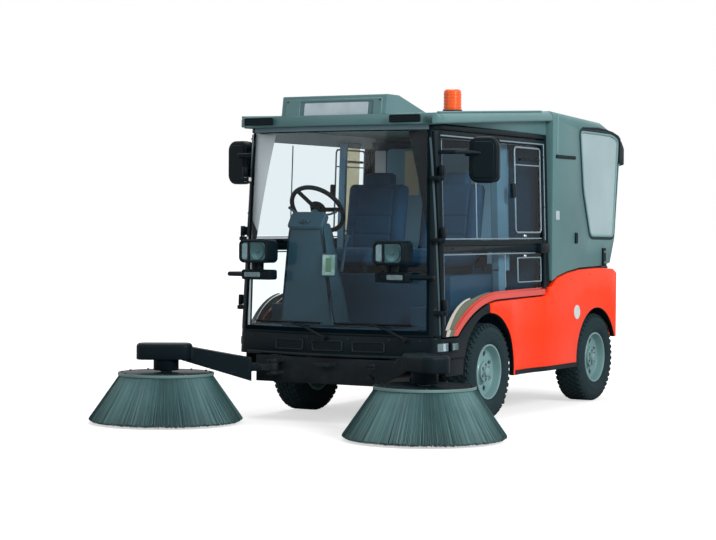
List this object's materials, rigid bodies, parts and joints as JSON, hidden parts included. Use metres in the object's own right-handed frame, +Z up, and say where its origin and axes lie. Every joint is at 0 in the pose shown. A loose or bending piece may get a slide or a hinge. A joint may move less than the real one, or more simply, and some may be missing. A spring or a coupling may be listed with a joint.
{
  "type": "compact street sweeper truck",
  "caption": "Compact street sweeper truck with a glazed cab, tipping waste hopper, suction mouth and two round side brushes on swing arms.",
  "frame": {"origin": "on the road, under the middle of the overall length and width", "axes": "+X to the vehicle's left, -Y forward, +Z up"},
  "size_m": [2.6579, 3.74, 2.0378],
  "materials": {
    "body_orange": "gloss",
    "hood_green": "satin",
    "screen_grey": "satin",
    "frame_black": "satin",
    "plastic_black": "matte",
    "cab_inner": "matte",
    "glass": "clear",
    "tyre": "matte",
    "rim_grey": "satin",
    "seat_fabric": "woven",
    "engine_grey": "rough",
    "steel": "brushed",
    "bristle_green": "fibrous",
    "beacon_amber": "clear",
    "lamp_black": "gloss"
  },
  "bodies": {
    "truck_body": {"chassis_frame": "frame_black", "cab_frame": "frame_black", "cab_tub": "cab_inner", "roof_panel": "hood_green", "windscreen": "glass", "front_skirt": "plastic_black", "side_panel_left": "body_orange", "side_panel_right": "body_orange", "rear_panel": "body_orange", "rear_liners": "plastic_black", "seats": "seat_fabric", "console": "cab_inner", "engine_block": "engine_grey", "front_axle": "frame_black", "rear_axle": "frame_black", "suction_duct": "plastic_black", "beacon": "beacon_amber", "lamps": "lamp_black"},
    "steering_wheel": {"steering_wheel": "plastic_black"},
    "hopper": {"hopper_shell": "hood_green", "hopper_screens": "screen_grey"},
    "hopper_door": {"hopper_door": "hood_green"},
    "tip_barrels": {"tip_cylinders": "frame_black"},
    "tip_rods": {"tip_rods": "steel"},
    "door_left": {"door_frame_left": "frame_black", "door_glass_left": "glass", "mirror_left": "plastic_black"},
    "knuckle_left": {"knuckle_left": "frame_black"},
    "arm_root_left": {"arm_root_left": "frame_black"},
    "brush_arm_left": {"brush_arm_left": "plastic_black"},
    "brush_left": {"brush_disc_left": "bristle_green", "brush_bristles_left": "bristle_green"},
    "wheel_front_left": {"tyre_front_left": "tyre", "rim_front_left": "rim_grey"},
    "wheel_rear_left": {"tyre_rear_left": "tyre", "rim_rear_left": "rim_grey"},
    "door_right": {"door_frame_right": "frame_black", "door_glass_right": "glass", "mirror_right": "plastic_black"},
    "knuckle_right": {"knuckle_right": "frame_black"},
    "arm_root_right": {"arm_root_right": "frame_black"},
    "brush_arm_right": {"brush_arm_right": "plastic_black"},
    "brush_right": {"brush_disc_right": "bristle_green", "brush_bristles_right": "bristle_green"},
    "wheel_front_right": {"tyre_front_right": "tyre", "rim_front_right": "rim_grey"},
    "wheel_rear_right": {"tyre_rear_right": "tyre", "rim_rear_right": "rim_grey"}
  },
  "joints": [
    {"name": "door_left", "type": "hinge", "parent": "truck_body", "child": "door_left", "pos_m": [0.69544, -0.862, 1], "axis": [0.0306, 0, -0.9995], "range_deg": [0, 75]},
    {"name": "steer_left", "type": "hinge", "parent": "truck_body", "child": "knuckle_left", "pos_m": [0.47, -0.237, 0.295], "axis": [0, 0, 1], "range_deg": [-25, 25]},
    {"name": "wheel_front_left_spin", "type": "hinge", "parent": "knuckle_left", "child": "wheel_front_left", "pos_m": [0.6025, -0.237, 0.295], "axis": [1, 0, 0], "continuous": true},
    {"name": "wheel_rear_left_spin", "type": "hinge", "parent": "truck_body", "child": "wheel_rear_left", "pos_m": [0.6025, 1.383, 0.295], "axis": [1, 0, 0], "continuous": true},
    {"name": "arm_swing_left", "type": "hinge", "parent": "truck_body", "child": "arm_root_left", "pos_m": [0.34, -1.06, 0.333], "axis": [0, 0, -1], "range_deg": [-10, 40]},
    {"name": "arm_lift_left", "type": "hinge", "parent": "arm_root_left", "child": "brush_arm_left", "pos_m": [0.4192, -1.11245, 0.333], "axis": [-0.5522, -0.8337, 0], "range_deg": [0, 15]},
    {"name": "brush_spin_left", "type": "hinge", "parent": "brush_arm_left", "child": "brush_left", "pos_m": [0.87, -1.411, 0.29], "axis": [0, 0, 1], "continuous": true},
    {"name": "door_right", "type": "hinge", "parent": "truck_body", "child": "door_right", "pos_m": [-0.69544, -0.862, 1], "axis": [0.0306, 0, 0.9995], "range_deg": [0, 75]},
    {"name": "steer_right", "type": "hinge", "parent": "truck_body", "child": "knuckle_right", "pos_m": [-0.47, -0.237, 0.295], "axis": [0, 0, 1], "range_deg": [-25, 25]},
    {"name": "wheel_front_right_spin", "type": "hinge", "parent": "knuckle_right", "child": "wheel_front_right", "pos_m": [-0.6025, -0.237, 0.295], "axis": [1, 0, 0], "continuous": true},
    {"name": "wheel_rear_right_spin", "type": "hinge", "parent": "truck_body", "child": "wheel_rear_right", "pos_m": [-0.6025, 1.383, 0.295], "axis": [1, 0, 0], "continuous": true},
    {"name": "arm_swing_right", "type": "hinge", "parent": "truck_body", "child": "arm_root_right", "pos_m": [-0.34, -1.06, 0.333], "axis": [0, 0, 1], "range_deg": [-10, 40]},
    {"name": "arm_lift_right", "type": "hinge", "parent": "arm_root_right", "child": "brush_arm_right", "pos_m": [-0.4192, -1.11245, 0.333], "axis": [-0.5522, 0.8337, 0], "range_deg": [0, 15]},
    {"name": "brush_spin_right", "type": "hinge", "parent": "brush_arm_right", "child": "brush_right", "pos_m": [-0.87, -1.411, 0.29], "axis": [0, 0, -1], "continuous": true},
    {"name": "steering_wheel_turn", "type": "hinge", "parent": "truck_body", "child": "steering_wheel", "pos_m": [-0.262, -0.69, 1.275], "axis": [0, 0.766, 0.6428], "range_deg": [-402, 402]},
    {"name": "hopper_tip", "type": "hinge", "parent": "truck_body", "child": "hopper", "pos_m": [0, 1.6, 0.88], "axis": [-1, 0, 0], "range_deg": [0, 50]},
    {"name": "hopper_door_open", "type": "hinge", "parent": "hopper", "child": "hopper_door", "pos_m": [0, 1.794, 1.812], "axis": [1, 0, 0], "range_deg": [0, 75]},
    {"name": "tip_barrel_swing", "type": "hinge", "parent": "truck_body", "child": "tip_barrels", "pos_m": [0, 1.25, 0.35], "axis": [-1, 0, 0], "range_deg": [0, 14.86]},
    {"name": "tip_rod_slide", "type": "slide", "parent": "tip_barrels", "child": "tip_rods", "axis": [0, -0.1854, 0.9827], "range_m": [0, 0.3395]}
  ],
  "couplings": [
    {"joint": "steer_right", "follows": "steer_left", "ratio": 1},
    {"joint": "steering_wheel_turn", "follows": "steer_left", "ratio": 16},
    {"joint": "tip_barrel_swing", "follows": "hopper_tip", "ratio": 0.29315},
    {"joint": "tip_rod_slide", "follows": "hopper_tip", "m_per_rad": 0.38672}
  ]
}
